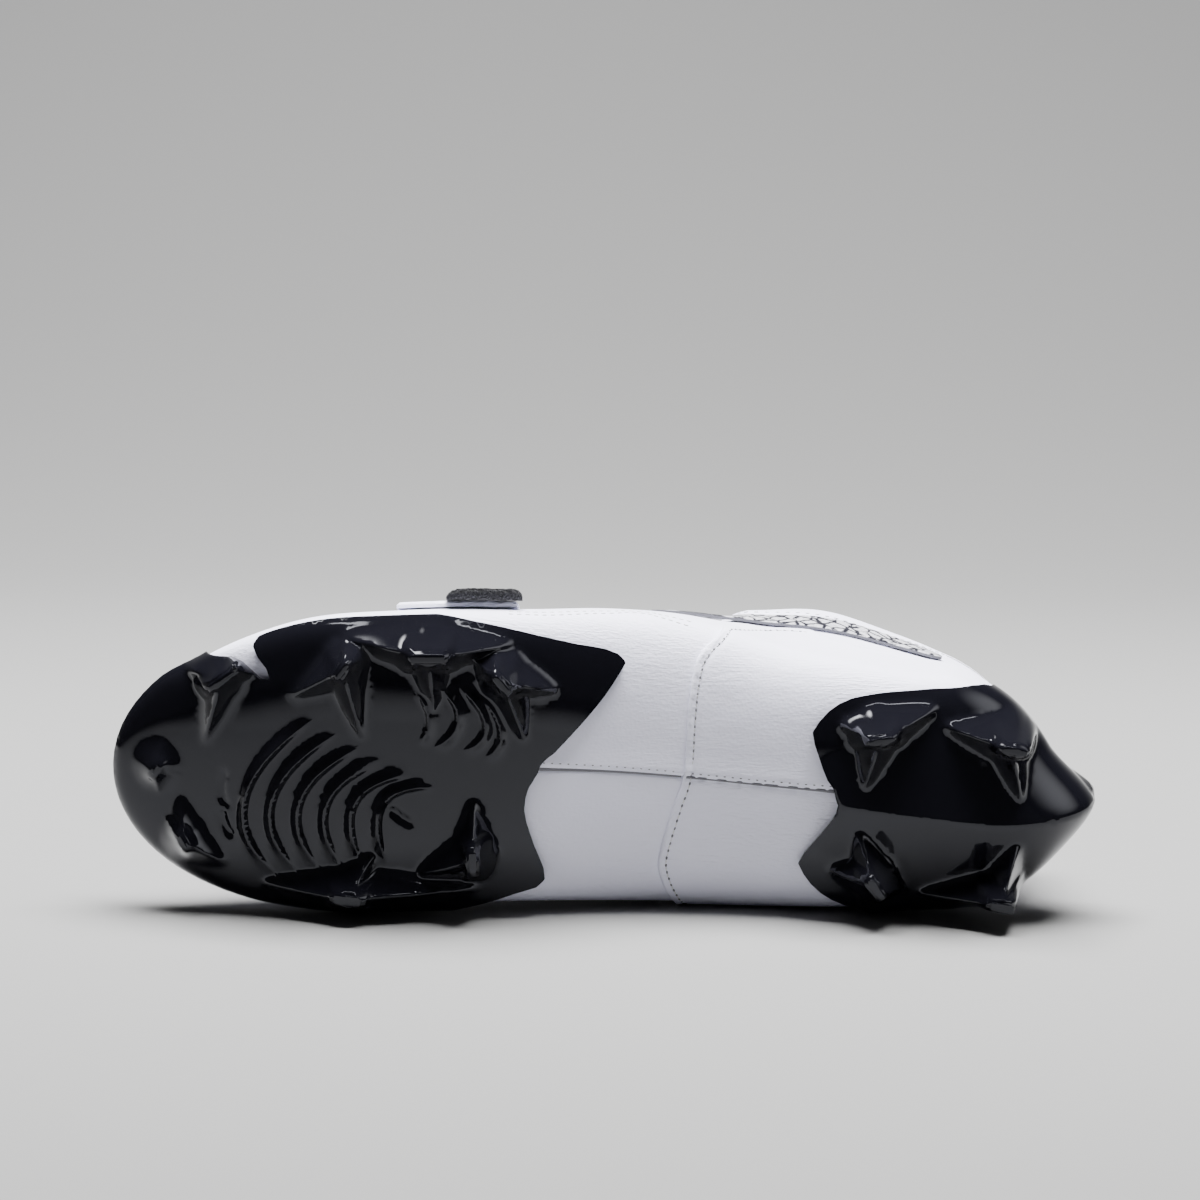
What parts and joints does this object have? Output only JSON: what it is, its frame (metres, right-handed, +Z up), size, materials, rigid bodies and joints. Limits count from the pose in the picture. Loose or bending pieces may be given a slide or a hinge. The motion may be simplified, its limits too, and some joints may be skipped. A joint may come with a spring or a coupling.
{
  "type": "american football cleat",
  "caption": "Left low-cut leather football cleat lying on its inner side, with a glossy studded forefoot plate and heel plate, a bare arch, laces, an instep strap and a fuzzy strap tab.",
  "frame": {"origin": "middle of the base of the bounding box, on the floor that the shoe lies on", "axes": "+X from the toe to the heel along the shoe's length, -Y the way the sole faces, +Z up with the outer side on top"},
  "size_m": [0.3016, 0.1136, 0.0995],
  "materials": {
    "white_leather": "smooth white leather with a faint grain",
    "black_plate": "glossy black moulded plastic",
    "grey_insole": "matt grey knitted cover",
    "white_padding": "soft white padded cloth",
    "white_lace": "flat woven white lace",
    "black_pile": "black hook and loop pile",
    "printed_band": "light grey with a dark crackle print"
  },
  "bodies": {
    "root": {"upper": "white_leather", "forefoot_plate": "black_plate", "heel_plate": "black_plate", "insole": "grey_insole", "tongue": "white_padding", "laces": "white_lace", "strap": "white_leather", "strap_tab": "black_pile", "trim_band": "printed_band"}
  },
  "joints": []
}
